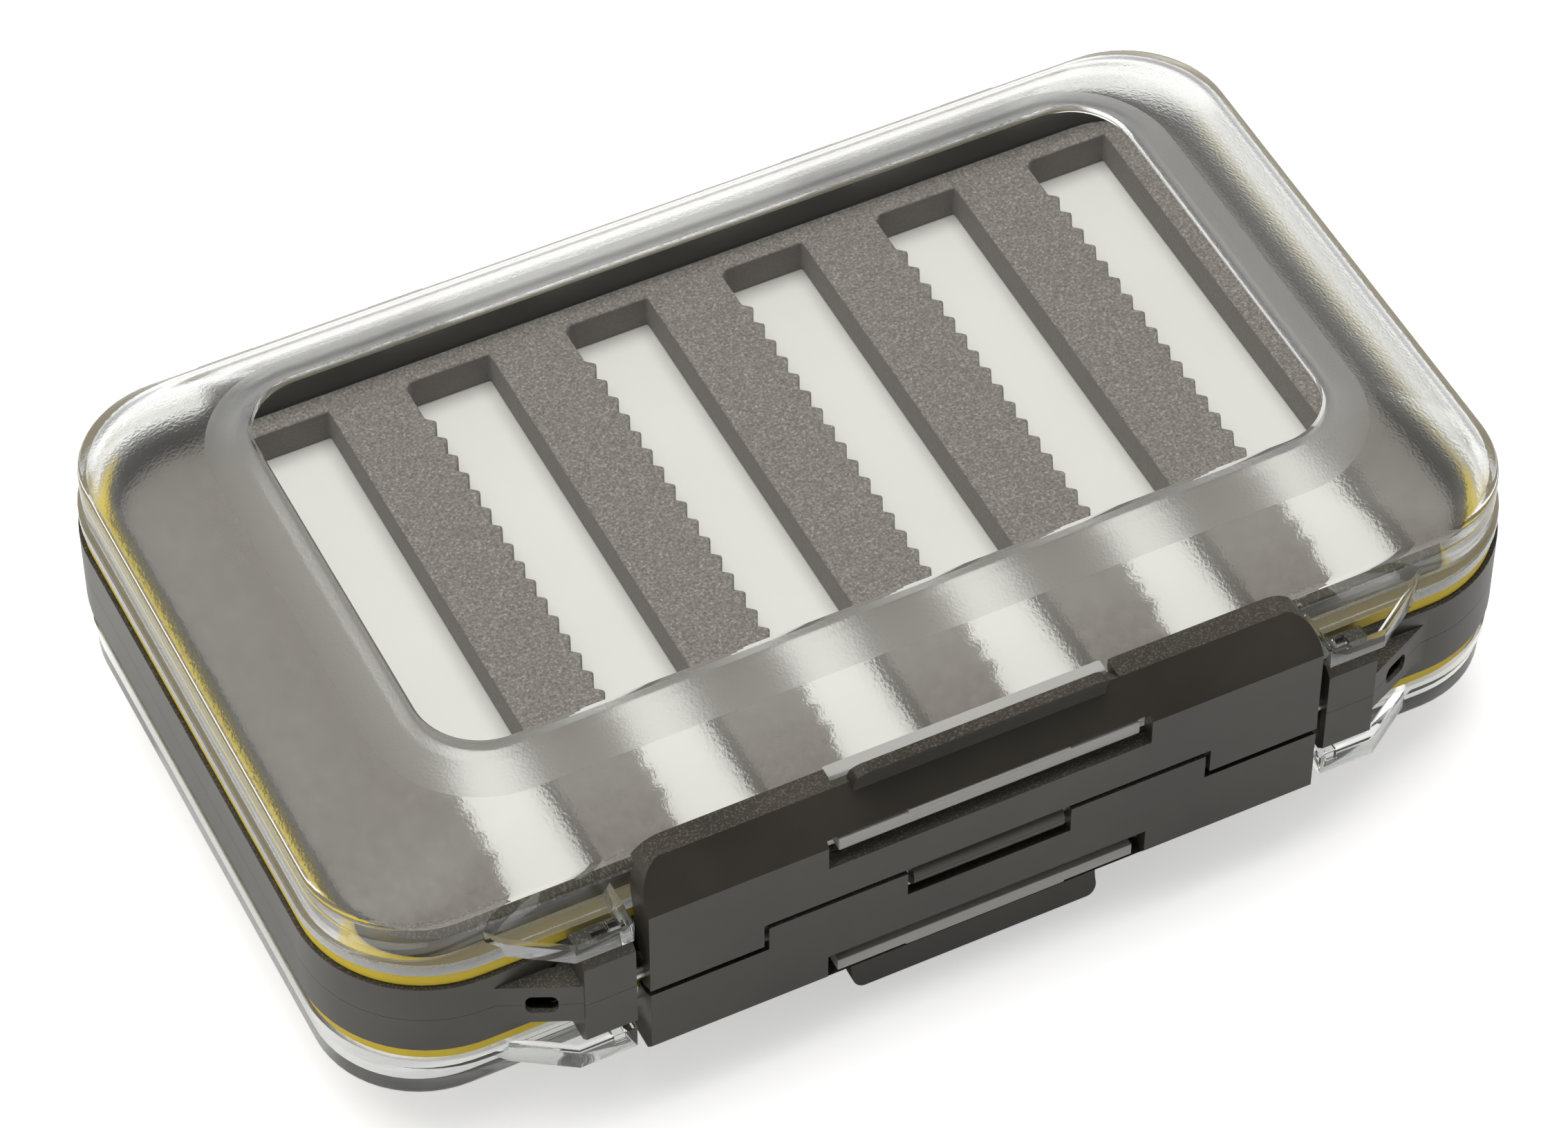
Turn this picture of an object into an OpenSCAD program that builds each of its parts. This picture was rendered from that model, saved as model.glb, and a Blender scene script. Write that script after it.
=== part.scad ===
// Double-sided waterproof fly box, in millimetres.
// Two black frame halves meet at the middle plane and carry slotted foam, a rubber seal and a
// clear hinged lid on each side. Two wide latches share one pin along the front.
// The box lies on the flat of its lower lid: origin at the middle of that flat, +Z up,
// latches towards -Y, hinges towards +Y.

/* [Body] */
// Length over the frame wall
body_l = 148.6; // [130:0.1:180]
// Width over the frame wall
body_w = 90.4; // [80:0.1:120]
// Height over both lids
body_h = 46.9; // [44:0.1:60]
// Outer corner radius of the frame
body_r = 15.5; // [14:0.1:20]

/* [Frame] */
// Height of the wall between the two seals
frame_h = 10.7; // [9.6:0.1:12]
// Thickness of the frame wall
wall_t = 4.9; // [4.4:0.1:6]
// Thickness of the middle web, both halves together
web_t = 1.2; // [0.8:0.1:2]
// Thickness of the thin upstand inside the seal
upstand_t = 0.8; // [0.6:0.1:1.2]
// Height of the upstand above the wall
upstand_h = 4.15; // [3:0.05:5]

/* [Seal] */
// Height of the rubber seal
seal_h = 2.1; // [1.6:0.1:2.6]
// How far the seal sits back from the outside of the wall
seal_recess = 0.5; // [0.3:0.1:1]
// Gap between the seal and the closed lid
seal_gap = 0.15; // [0.1:0.05:0.3]

/* [Foam] */
// Thickness of the white backing sheet
backing_t = 0.5; // [0.4:0.1:1]
// Thickness of the foam
foam_t = 4.6; // [4.3:0.1:5.4]
// Distance from one slot to the next
slot_pitch = 20.5; // [18:0.1:21.5]
// Width of a slot between its straight edge and the tooth tips
slot_w = 9.85; // [7:0.05:11]
// Foam left at each end of a slot
slot_end = 3; // [2:0.1:8]
// Foam left between the last slot and the frame
slot_side = 7.9; // [5:0.1:12]
// Distance from one tooth to the next along a slot
tooth_pitch = 3.04; // [2.4:0.02:5]
// Depth of the teeth
tooth_d = 1.05; // [0.8:0.05:2]
// Where the tip of a tooth lies within its pitch
tooth_lean = 0.3; // [0.2:0.05:0.8]
// Plain stretch between a slot's corner and its first tooth
tooth_start = 5.15; // [2:0.05:8]
// Width of the diagonal corner at each end of the toothed edge
slot_corner = 0.8; // [0.5:0.1:1.4]

/* [Lids] */
// Wall thickness of a lid
lid_t = 2; // [1.6:0.1:2.4]
// Thickness of the flat rim that presses the seal
rim_t = 1.6; // [1.2:0.1:2]
// How far the rim stays inside the frame wall
rim_inset = 0.2; // [0:0.1:0.5]
// Set-back of the lid wall from the frame wall on the long sides
lid_side_inset = 1.9; // [1.6:0.1:2.2]
// Set-back of the lid wall from the frame wall on the short sides
lid_end_inset = 0.8; // [0.6:0.1:1.6]
// Length of the flat window
window_l = 111.6; // [90:0.1:120]
// Width of the flat window
window_w = 59.2; // [50:0.1:66]
// Corner radius of the window
window_r = 8.1; // [6:0.1:12]
// Width of the bevel round the window
bevel_w = 1.6; // [1:0.1:2.4]
// Height of the bevel round the window
bevel_h = 1.45; // [1:0.05:2]
// Height of the sloping band between the shoulder and the bevel
band_h = 3.8; // [3:0.1:5]
// Size of the rounded shoulder above the lid wall
shoulder = 4; // [3:0.1:5]

/* [Latches] */
// Length of the latches
latch_l = 83.2; // [76:0.1:88]
// Plate thickness of a latch
latch_t = 1.8; // [1.4:0.1:2]
// Distance of the latch pin from the frame wall
pivot_out = 2.7; // [2.6:0.05:3.4]
// Radius of the latch barrels
barrel_r = 2.1; // [1.8:0.05:2.3]
// Height of the fold above the middle plane
fold_z = 16.3; // [15:0.1:18]
// Height of the bend where the face starts to lean in
bend_z = 11.3; // [8:0.1:12.4]
// How far the face leans in from the bend to the fold
fold_in = 3.8; // [2.5:0.1:4.4]
// Corner radius at the ends of a latch
latch_corner = 4.5; // [2:0.1:6]
// Width of the thumb lip
lip_l = 31; // [20:0.5:34]
// Height of the lip tip above the fold
lip_h = 2.5; // [1.5:0.1:3]
// Gap between the lip and the flange on each side
lip_notch = 2; // [1:0.1:4]
// Length of the slot that the lid bar fills
latch_slot_l = 39.9; // [30:0.1:50]
// How much shorter the lid bar is than the slot at each end
bar_gap = 1.4; // [0.4:0.1:2]
// Height of the lid bar
bar_h = 1.7; // [1.4:0.1:2]
// Length of the raised middle part of the bar
bar_step_l = 20; // [10:0.5:28]
// Half width of the frame knuckle between the latches
centre_knuckle = 9.4; // [8:0.1:14]
// Distance from the middle to where the barrels of one latch end and the other's begin
barrel_split = 27.5; // [20:0.1:32]

/* [Front lugs] */
// Width of the frame lugs that hold the pin ends
lug_w = 6.2; // [5:0.1:7.5]
// Height of a frame lug over the middle plane
lug_z = 7.1; // [6:0.1:7.2]
// Half thickness of the gusset beside a lug
gusset_z = 3.05; // [2:0.05:4]
// Length of the gusset along the wall
gusset_l = 8.8; // [7:0.1:12]
// Length of the lanyard hole in the gusset
lanyard_l = 3.6; // [3:0.1:4.4]
// Width of the lanyard hole
lanyard_w = 1.6; // [1.2:0.1:2]

/* [Hinges and pins] */
// Distance of each hinge from the end of the frame
hinge_from_end = 36.3; // [32:0.1:44]
// Length of the lid knuckle
lid_knuckle_l = 14; // [10:0.5:18]
// Length of each frame knuckle
frame_knuckle_l = 7; // [5:0.5:9]
// Radius of the hinge knuckles
knuckle_r = 2.3; // [2:0.05:2.6]
// Height of the hinge axis above the wall top
hinge_rise = 1.1; // [1:0.05:1.3]
// Diameter of the hinge pins
hinge_pin_d = 2; // [1.6:0.1:2.4]
// Diameter of the latch pin
latch_pin_d = 1.6; // [1.2:0.1:1.8]

/* [Clearances] */
// Radial clearance of a pin in its bore
pin_fit = 0.05; // [0.03:0.01:0.1]
// Gap between parts that move past each other
move_gap = 0.3; // [0.2:0.05:0.4]
// Gap between the barrels along the latch pin
barrel_gap = 0.6; // [0.4:0.1:1]
// Gap round the foam and the seal
fit_gap = 0.15; // [0.05:0.05:0.3]

/* [Hidden] */
$fn = 72;
eps = 0.01;             // thin slabs and cut overrun
mid_z = body_h / 2;     // the middle plane of the box above the rest face

// Frame, all heights from the middle plane
half_l = body_l / 2;
half_w = body_w / 2;
pocket_l = body_l - 2 * wall_t;
pocket_w = body_w - 2 * wall_t;
pocket_r = body_r - wall_t;
frame_top = frame_h / 2;
upstand_top = frame_top + upstand_h;
backing_z = web_t / 2;
foam_z = backing_z + backing_t;
foam_top = foam_z + foam_t;

// Lid, heights from the middle plane
seal_top = frame_top + seal_h;
rim_z = seal_top + seal_gap;
rim_top = rim_z + rim_t;
lid_top = body_h / 2;
lid_half_l = half_l - lid_end_inset;
lid_half_w = half_w - lid_side_inset;
lid_r = body_r - (lid_side_inset + lid_end_inset);
band_top = lid_top - bevel_h;
shoulder_z = band_top - band_h;
wall_top = shoulder_z - shoulder;
rim_r = body_r - rim_inset;

// Hinge axis
hinge_x = half_l - hinge_from_end;
knuckle_gap = 0.1;      // between a knuckle and the frame wall
hinge_y = half_w + knuckle_r + knuckle_gap;
hinge_z = frame_top + hinge_rise;
hinge_pin_l = lid_knuckle_l + 2 * frame_knuckle_l + 2 * move_gap;

// Latch pivot and the front of the lid
pivot_y = -(half_w + pivot_out);
face_y = pivot_y - barrel_r;
plate_in = face_y + latch_t;
recess = 0.4;           // lugs and bar stand this far behind the latch face
bar_z = rim_z + 2.2;
bar_step = 0.3;         // rise of the bar's middle part
bar_nose = face_y + recess;
slot_top = bar_z + bar_h + bar_step + move_gap;
slot_bottom = rim_z + 0.2;
bend_back = 0.5;        // the inner bend lies lower than the outer one
flange_y = -(lid_half_w + move_gap);
flange_rise = 0.3;      // the flange climbs this much towards the lid
flange_top = fold_z + flange_rise;
relief_r = barrel_r + 0.95;
lug_gap = 1.4;          // between a latch end and its lug
lug_x = latch_l / 2 + lug_gap;
lug_end = lug_x + lug_w;
lug_y = face_y + recess;
lug_chamfer = 1;
pin_end = lug_x + lug_w / 2;
tray_wall = 1.2;
tray_front = plate_in + move_gap;
tray_half = latch_l / 2 - latch_t - barrel_gap;
tray_root = 1;          // how far the tray reaches into the lid wall
bay_h = bend_z - bend_back - move_gap - rim_z;
wing_h = 3.4;
wing_back = 0.2;        // the wing stands this far behind the lug and the wall
wing_side = 0.8;        // and this far past the lug's end
wing_nose = 1.5;        // length of its slanted tip
hidden = 1;             // overlap of a joined piece with what carries it
past = 1;               // overrun of a cut
finger = 0.6;           // plan shrink of slanted wing edges for the same wall

// A rounded rectangle given by its half length, half width and corner radius
module plan(a, b, r) {
    square([2 * a, 2 * (b - r)], center = true);
    square([2 * (a - r), 2 * b], center = true);
    for (sx = [-1, 1], sy = [-1, 1]) translate([sx * (a - r), sy * (b - r)]) circle(r);
}

// A rounded rectangular plate between two heights
module slab(z0, z1, a, b, r) {
    translate([0, 0, z0]) linear_extrude(z1 - z0) plan(a, b, r);
}

// An outline in the Y-Z plane drawn along X from x0 to x1
module along_x(x0, x1) {
    translate([x0, 0, 0]) rotate([90, 0, 90]) linear_extrude(x1 - x0) children();
}

// A round bar along X
module bar_x(x0, x1, y, z, r) {
    translate([x0, y, z]) rotate([0, 90, 0]) cylinder(h = x1 - x0, r = r);
}

// Both ends of the box from one shape drawn at +X
module both_ends() {
    children();
    mirror([1, 0, 0]) children();
}

// Places a shape drawn above the middle plane on the upper or the lower side of the box
module side_of_box(up) {
    translate([0, 0, mid_z]) mirror([0, 0, up ? 0 : 1]) children();
}

// ---------- frame ----------

// Lug that holds one end of the latch pin, with its slim gusset to the wall
module front_lug() {
    root = -half_w + hidden;
    clear_of_rim = -half_w - 0.1;
    under_seal = frame_top - 0.6;
    // the lug block with its front top edge taken off
    along_x(lug_x, lug_end) polygon([
        [root, 0], [lug_y, 0], [lug_y, lug_z - lug_chamfer], [lug_y + lug_chamfer, lug_z],
        [clear_of_rim, lug_z], [clear_of_rim, under_seal], [root, under_seal]
    ]);
    // gusset: a flat three-cornered wing from the lug to the wall
    linear_extrude(gusset_z) polygon([
        [lug_end - 0.5, lug_y + 0.15], [lug_end + gusset_l, -half_w],
        [lug_end + gusset_l, root], [lug_end - 0.5, root]
    ]);
}

// Small recess moulded in the top of a lug
module lug_recess() {
    deep = 0.7;
    translate([lug_x + 0.8, lug_y + lug_chamfer + 0.3, lug_z - deep])
        cube([lug_w / 2, 2, deep + past]);
}

// Oblong lanyard hole that enters the slanted gusset face and leaves below
module lanyard_hole() {
    slant = atan2(-half_w - lug_y, gusset_l);
    dive = 40;
    along = 0.45;
    through = 12;
    translate([lug_end + gusset_l * along, (lug_y - half_w) / 2 + 0.4, 0])
        rotate([0, 0, slant]) rotate([dive, 0, 0]) rotate([90, 0, 0])
            linear_extrude(through, center = true) {
                square([lanyard_l - lanyard_w, lanyard_w], center = true);
                for (s = [-1, 1]) translate([s * (lanyard_l - lanyard_w) / 2, 0]) circle(lanyard_w / 2);
            }
}

// The hinge blocks: each carries its share of two knuckles
module frame_knuckles() {
    bite = 0.3;
    block_y = hinge_y + knuckle_r * 0.85;
    for (s = [-1, 1]) for (e = [-1, 1]) {
        x = s * hinge_x + e * (lid_knuckle_l / 2 + move_gap + frame_knuckle_l / 2);
        bar_x(x - frame_knuckle_l / 2, x + frame_knuckle_l / 2, hinge_y, hinge_z, knuckle_r);
        translate([x - frame_knuckle_l / 2, half_w - bite, 0])
            cube([frame_knuckle_l, block_y - half_w + bite, hinge_z]);
    }
}

module frame_half() {
    neck = barrel_r * 0.7;
    difference() {
        union() {
            difference() {
                union() {
                    slab(0, frame_top, half_l, half_w, body_r);
                    // upstand inside the seal
                    slab(backing_z, upstand_top, pocket_l / 2 + upstand_t,
                         pocket_w / 2 + upstand_t, pocket_r + upstand_t);
                }
                slab(backing_z, upstand_top + past, pocket_l / 2, pocket_w / 2, pocket_r);
            }
            both_ends() front_lug();
            // knuckle between the two latches
            bar_x(-centre_knuckle, centre_knuckle, pivot_y, 0, barrel_r);
            along_x(-centre_knuckle, centre_knuckle) polygon([
                [pivot_y, -past], [-half_w + hidden, -past], [-half_w + hidden, neck],
                [pivot_y, neck]
            ]);
            frame_knuckles();
        }
        translate([-body_l, -body_w, -body_h]) cube([2 * body_l, 2 * body_w, body_h]);
        both_ends() {
            lug_recess();
            lanyard_hole();
        }
        mirror([0, 0, 1]) both_ends() lanyard_hole();
        bar_x(-pin_end - past / 2, pin_end + past / 2, pivot_y, 0, latch_pin_d / 2 + pin_fit);
        for (s = [-1, 1])
            bar_x(s * hinge_x - hinge_pin_l / 2 - past, s * hinge_x + hinge_pin_l / 2 + past,
                  hinge_y, hinge_z, hinge_pin_d / 2 + pin_fit);
    }
}

module upper_frame() { color("#4a4742") side_of_box(true) frame_half(); }
module lower_frame() { color("#4a4742") side_of_box(false) frame_half(); }

// ---------- seal, backing and foam ----------

// Rubber ring on top of the wall, outside the upstand
module seal_ring() {
    difference() {
        slab(frame_top, seal_top, half_l - seal_recess, half_w - seal_recess, body_r - seal_recess);
        slab(frame_top - past, seal_top + past, pocket_l / 2 + upstand_t + fit_gap,
             pocket_w / 2 + upstand_t + fit_gap, pocket_r + upstand_t + fit_gap);
    }
}

module upper_seal() { color("#c9b23c") side_of_box(true) seal_ring(); }
module lower_seal() { color("#c9b23c") side_of_box(false) seal_ring(); }

// White sheet that shows through the slots
module backing_sheet() {
    slab(backing_z, foam_z, pocket_l / 2 - fit_gap, pocket_w / 2 - fit_gap, pocket_r - fit_gap);
}

module upper_backing() { color("#ece8e4") side_of_box(true) backing_sheet(); }
module lower_backing() { color("#ece8e4") side_of_box(false) backing_sheet(); }

// One slot: straight on its right, toothed on its left, with diagonal corners on that side
slot_half = pocket_w / 2 - slot_end;
tooth_room = 2 * (slot_half - slot_corner - tooth_start);
tooth_n = round(tooth_room / tooth_pitch);
teeth_y = tooth_room / 2;
slot_n = floor((pocket_l - 2 * slot_side - slot_w - tooth_d) / slot_pitch) + 1;

module slot_outline() {
    left = -slot_w - tooth_d;
    polygon(concat(
        [[0, -slot_half], [0, slot_half], [left + slot_corner, slot_half],
         [left, slot_half - slot_corner]],
        [for (i = [0:tooth_n - 1]) each [
            [left, teeth_y - i * tooth_pitch],
            [left + tooth_d, teeth_y - (i + tooth_lean) * tooth_pitch]
        ]],
        [[left, teeth_y - tooth_n * tooth_pitch], [left, -slot_half + slot_corner],
         [left + slot_corner, -slot_half]]
    ));
}

module foam_pad() {
    last_edge = pocket_l / 2 - slot_side;
    difference() {
        slab(foam_z, foam_top, pocket_l / 2 - fit_gap, pocket_w / 2 - fit_gap, pocket_r - fit_gap);
        for (i = [0:slot_n - 1])
            translate([last_edge - i * slot_pitch, 0, foam_z - past])
                linear_extrude(foam_t + 2 * past) slot_outline();
    }
}

module upper_foam() { color("#7b7773") side_of_box(true) foam_pad(); }
module lower_foam() { color("#7b7773") side_of_box(false) foam_pad(); }

// ---------- lids ----------

// Thin ring section of the lid shell, used to stretch its curved skin
module ring(z, a, b, r) {
    slab(z - eps, z, a, b, r);
}

// The lid as a solid block; inset and drop make the smaller block that hollows it
module lid_block(inset, drop, foot) {
    a = lid_half_l - inset;
    b = lid_half_w - inset;
    r = lid_r - inset;
    // the inner skin follows the slopes at a shorter distance than the wall
    thin = inset * 0.5;
    tuck = bevel_w - 0.3 - thin;
    sink = 0.8;
    foot_w = bevel_w * (1 + sink / bevel_h) - thin;
    // a point on the way round the shoulder: share of its height, of its width
    up = 0.62;
    in = 0.22;
    $fn = 48;
    hull() {
        slab(foot, wall_top, a, b, r);
        ring(wall_top + shoulder * up - drop * 0.4, a - shoulder * in, b - shoulder * in,
             r - shoulder * in / 2);
        ring(shoulder_z - drop, a - shoulder * 1.05, b - shoulder, r - shoulder * 0.3);
        ring(band_top - drop, window_l / 2 + tuck, window_w / 2 + tuck, window_r + tuck);
    }
    // the bevelled window stands on top, sunk a little into the band
    hull() {
        ring(band_top - sink - drop, window_l / 2 + foot_w, window_w / 2 + foot_w,
             window_r + foot_w);
        ring(lid_top - drop, window_l / 2 - thin, window_w / 2 - thin, window_r - thin);
    }
}

// Plan of the bay of the front tray that lies behind the latch
module bay_plan(shrink) {
    translate([-tray_half + shrink, tray_front + shrink])
        square([2 * (tray_half - shrink), -lid_half_w + tray_root - tray_front - shrink]);
}

// Plan of the wing of the front tray beside the latch, over the frame lug and its gusset
module wing_plan(shrink) {
    polygon([
        [lug_x + shrink, -lid_half_w + tray_root], [lug_x + shrink, lug_y + wing_back + shrink],
        [lug_end + wing_side - shrink * finger, lug_y + wing_back + shrink],
        [lug_end + gusset_l - wing_nose - shrink * finger, -half_w + wing_back + shrink * 0.8],
        [lug_end + gusset_l - shrink * finger, -lid_half_w + shrink],
        [lug_end + gusset_l - shrink * finger, -lid_half_w + tray_root]
    ]);
}

// A tray wall of the given height stands along the edge of its floor
module front_tray(height) {
    tray_floor = rim_t - 0.2;
    difference() {
        translate([0, 0, rim_z]) linear_extrude(height) children(0);
        translate([0, 0, rim_z + tray_floor]) linear_extrude(height) children(1);
    }
}

// Bar that stands in the latch slot, a little taller in its middle part
module latch_bar() {
    deep = tray_front - bar_nose + tray_wall * 0.8;
    half = latch_slot_l / 2 - bar_gap;
    translate([-half, bar_nose, bar_z]) cube([2 * half, deep, bar_h]);
    translate([-bar_step_l / 2, bar_nose, bar_z]) cube([bar_step_l, deep, bar_h + bar_step]);
}

module lid() {
    strap_t = hinge_z + knuckle_r - rim_z - 0.25;
    difference() {
        union() {
            lid_block(0, 0, rim_z + rim_t / 3);
            // flat rim over the seal
            slab(rim_z, rim_top, half_l - rim_inset, half_w - rim_inset, rim_r);
            front_tray(bay_h) {
                bay_plan(0);
                bay_plan(tray_wall);
            }
            both_ends() front_tray(wing_h) {
                wing_plan(0);
                wing_plan(tray_wall);
            }
            latch_bar();
            // hinge knuckles and the straps that carry them
            for (s = [-1, 1]) {
                bar_x(s * hinge_x - lid_knuckle_l / 2, s * hinge_x + lid_knuckle_l / 2,
                      hinge_y, hinge_z, knuckle_r);
                translate([s * hinge_x - lid_knuckle_l / 2, half_w - hidden, rim_z + 0.1])
                    cube([lid_knuckle_l, hinge_y - half_w + hidden, strap_t]);
            }
        }
        lid_block(lid_t, lid_t * 0.95, rim_z - past);
        for (s = [-1, 1])
            bar_x(s * hinge_x - lid_knuckle_l / 2 - past, s * hinge_x + lid_knuckle_l / 2 + past,
                  hinge_y, hinge_z, hinge_pin_d / 2 + pin_fit);
    }
}

module upper_lid() { color("#dfe3e2", 0.4) side_of_box(true) lid(); }
module lower_lid() { color("#dfe3e2", 0.4) side_of_box(false) lid(); }

// ---------- latches ----------

// Face of a latch in the Y-Z plane: a flat plate, then a lean towards the lid
module plate_outline(foot) {
    slope = latch_t * 0.62;
    polygon([
        [face_y, foot], [face_y, bend_z], [face_y + fold_in, fold_z],
        [face_y + fold_in + latch_t, fold_z - slope], [plate_in, bend_z - bend_back],
        [plate_in, foot]
    ]);
}

// Flange that turns in over the front of the lid
module flange_outline() {
    flange_t = latch_t - 0.1;
    polygon([
        [face_y + fold_in, fold_z], [flange_y, flange_top], [flange_y, flange_top - flange_t],
        [face_y + fold_in + 1, fold_z - latch_t]
    ]);
}

// Thumb lip that flares out again above the fold
module lip_outline() {
    root = face_y + fold_in - 0.7;
    polygon([
        [root, fold_z - 0.95], [root - 0.2, fold_z + 0.4], [root - 0.9, fold_z + lip_h],
        [root + 0.6, fold_z + lip_h], [root + 1.5, fold_z + 0.4], [root + 1.7, fold_z - 0.95]
    ]);
}

// End wall that closes the latch at each side
module end_wall_outline() {
    polygon([
        [face_y + 0.2, 1.6], [face_y + 0.2, bend_z], [face_y + fold_in, fold_z],
        [face_y + 5.4, fold_z - 1.2], [face_y + 4.8, bend_z + 1.6], [face_y + 2.9, 2.4],
        [face_y + 2.1, 1.6]
    ]);
}

// Front view of a latch: round top corners, with the lip standing above
module latch_front() {
    h = flange_top;
    half = latch_l / 2;
    square([latch_l, 2 * (h - latch_corner)], center = true);
    translate([-half + latch_corner, 0]) square([latch_l - 2 * latch_corner, h]);
    for (s = [-1, 1]) translate([s * (half - latch_corner), h - latch_corner]) circle(latch_corner);
    lip_r = 1.4;
    lip_top = fold_z + lip_h;
    translate([-lip_l / 2, 0]) square([lip_l, lip_top - lip_r]);
    translate([-lip_l / 2 + lip_r, 0]) square([lip_l - 2 * lip_r, lip_top]);
    for (s = [-1, 1]) translate([s * (lip_l / 2 - lip_r), lip_top - lip_r]) circle(lip_r);
}

// A latch without its barrels; foot is where the flat face ends past the pivot
module latch_cover(foot) {
    half = latch_l / 2;
    flange_x = lip_l / 2 + lip_notch;
    difference() {
        intersection() {
            union() {
                along_x(-half, half) plate_outline(foot);
                both_ends() along_x(flange_x, half) flange_outline();
                along_x(-lip_l / 2, lip_l / 2) lip_outline();
                both_ends() along_x(half - latch_t, half) end_wall_outline();
            }
            translate([0, flange_y + past, 0]) rotate([90, 0, 0])
                linear_extrude(2 * pivot_out - face_y + flange_y + past) latch_front();
        }
        translate([-latch_slot_l / 2, face_y - past, slot_bottom])
            cube([latch_slot_l, latch_t + 2 * past, slot_top - slot_bottom]);
    }
}

// The barrel zone from x0 to x1: a round barrel with the flat face carried past the pin
module barrel(x0, x1) {
    foot = barrel_r * 0.68;
    head = relief_r + hidden;
    bar_x(x0, x1, pivot_y, 0, barrel_r);
    along_x(x0, x1) polygon([
        [face_y, -foot], [face_y, head], [plate_in, head], [plate_in, -foot]
    ]);
}

// Round clearance for the other latch's barrels
module barrel_room(x0, x1) {
    bar_x(x0, x1, pivot_y, 0, relief_r);
}

module latch_pin_bore() {
    bar_x(-latch_l, latch_l, pivot_y, 0, latch_pin_d / 2 + pin_fit);
}

// Upper latch: barrels at both ends of the pin
module latch_with_end_barrels() {
    inner = barrel_split + barrel_gap / 2;
    difference() {
        union() {
            difference() {
                latch_cover(0);
                barrel_room(-latch_l, latch_l);
            }
            both_ends() barrel(inner, latch_l / 2);
        }
        latch_pin_bore();
    }
}

// Lower latch: barrels beside the middle knuckle
module latch_with_middle_barrels() {
    inner = centre_knuckle + barrel_gap * 1.3;
    outer = barrel_split - barrel_gap / 2;
    difference() {
        union() {
            difference() {
                latch_cover(0);
                barrel_room(-latch_l, latch_l);
            }
            both_ends() barrel(inner, outer);
        }
        latch_pin_bore();
    }
}

module upper_latch() { color("#3a3732") side_of_box(true) latch_with_end_barrels(); }
module lower_latch() { color("#3a3732") side_of_box(false) latch_with_middle_barrels(); }

// ---------- pins ----------

module latch_pin() {
    color("#b8b8b6") translate([0, 0, mid_z])
        bar_x(-pin_end, pin_end, pivot_y, 0, latch_pin_d / 2);
}

module hinge_pin(s) {
    bar_x(s * hinge_x - hinge_pin_l / 2, s * hinge_x + hinge_pin_l / 2, hinge_y, hinge_z,
          hinge_pin_d / 2);
}

module upper_hinge_pin_left() { color("#b8b8b6") side_of_box(true) hinge_pin(-1); }
module upper_hinge_pin_right() { color("#b8b8b6") side_of_box(true) hinge_pin(1); }
module lower_hinge_pin_left() { color("#b8b8b6") side_of_box(false) hinge_pin(-1); }
module lower_hinge_pin_right() { color("#b8b8b6") side_of_box(false) hinge_pin(1); }

upper_frame();
lower_frame();
upper_seal();
lower_seal();
upper_foam();
lower_foam();
upper_backing();
lower_backing();
upper_lid();
lower_lid();
upper_latch();
lower_latch();
latch_pin();
upper_hinge_pin_left();
upper_hinge_pin_right();
lower_hinge_pin_left();
lower_hinge_pin_right();
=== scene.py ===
import bpy
import bmesh
from math import cos, sin, radians
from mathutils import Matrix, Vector


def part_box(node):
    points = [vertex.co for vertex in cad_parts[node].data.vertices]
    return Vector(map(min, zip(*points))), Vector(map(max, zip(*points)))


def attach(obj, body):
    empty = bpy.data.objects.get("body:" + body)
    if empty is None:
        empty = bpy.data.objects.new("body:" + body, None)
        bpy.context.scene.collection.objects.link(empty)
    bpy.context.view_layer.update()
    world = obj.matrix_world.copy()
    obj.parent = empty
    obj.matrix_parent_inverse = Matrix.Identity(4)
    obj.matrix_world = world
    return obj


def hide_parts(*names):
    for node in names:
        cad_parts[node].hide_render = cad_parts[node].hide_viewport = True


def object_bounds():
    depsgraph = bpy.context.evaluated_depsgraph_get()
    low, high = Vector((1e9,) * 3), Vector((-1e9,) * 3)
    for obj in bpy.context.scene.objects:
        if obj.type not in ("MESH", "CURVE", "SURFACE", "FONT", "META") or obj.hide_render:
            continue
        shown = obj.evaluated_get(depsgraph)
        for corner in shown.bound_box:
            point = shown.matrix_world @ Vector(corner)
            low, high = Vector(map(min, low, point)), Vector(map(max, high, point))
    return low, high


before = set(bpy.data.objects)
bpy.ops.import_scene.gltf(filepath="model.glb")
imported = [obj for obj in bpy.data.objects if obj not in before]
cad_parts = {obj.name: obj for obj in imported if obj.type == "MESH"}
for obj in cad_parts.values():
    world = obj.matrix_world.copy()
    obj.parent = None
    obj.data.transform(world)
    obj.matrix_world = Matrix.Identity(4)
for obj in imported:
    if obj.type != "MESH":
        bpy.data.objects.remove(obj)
cad_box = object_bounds()
scene = bpy.context.scene


# ---------------------------------------------------------------- camera
# The box is seen from its front left corner and well from above, with a long lens.
# The camera stands about 0.7 m away and is level from side to side.
CAMERA_PLACE = Vector((-0.2057, -0.4116, 0.5441))
CAMERA_AIM = Vector((0.2945, 0.5907, -0.7513))
LENS_MM = 138.3
SENSOR_MM = 36.0
NEAREST = 0.01              # nothing closer to the camera than this is drawn, m

camera_data = bpy.data.cameras.new("camera")
camera_data.lens = LENS_MM
camera_data.sensor_width = SENSOR_MM
camera_data.clip_start = NEAREST
camera = bpy.data.objects.new("camera", camera_data)
scene.collection.objects.link(camera)
camera.location = CAMERA_PLACE
camera.rotation_euler = CAMERA_AIM.to_track_quat("-Z", "Y").to_euler()
scene.camera = camera


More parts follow.
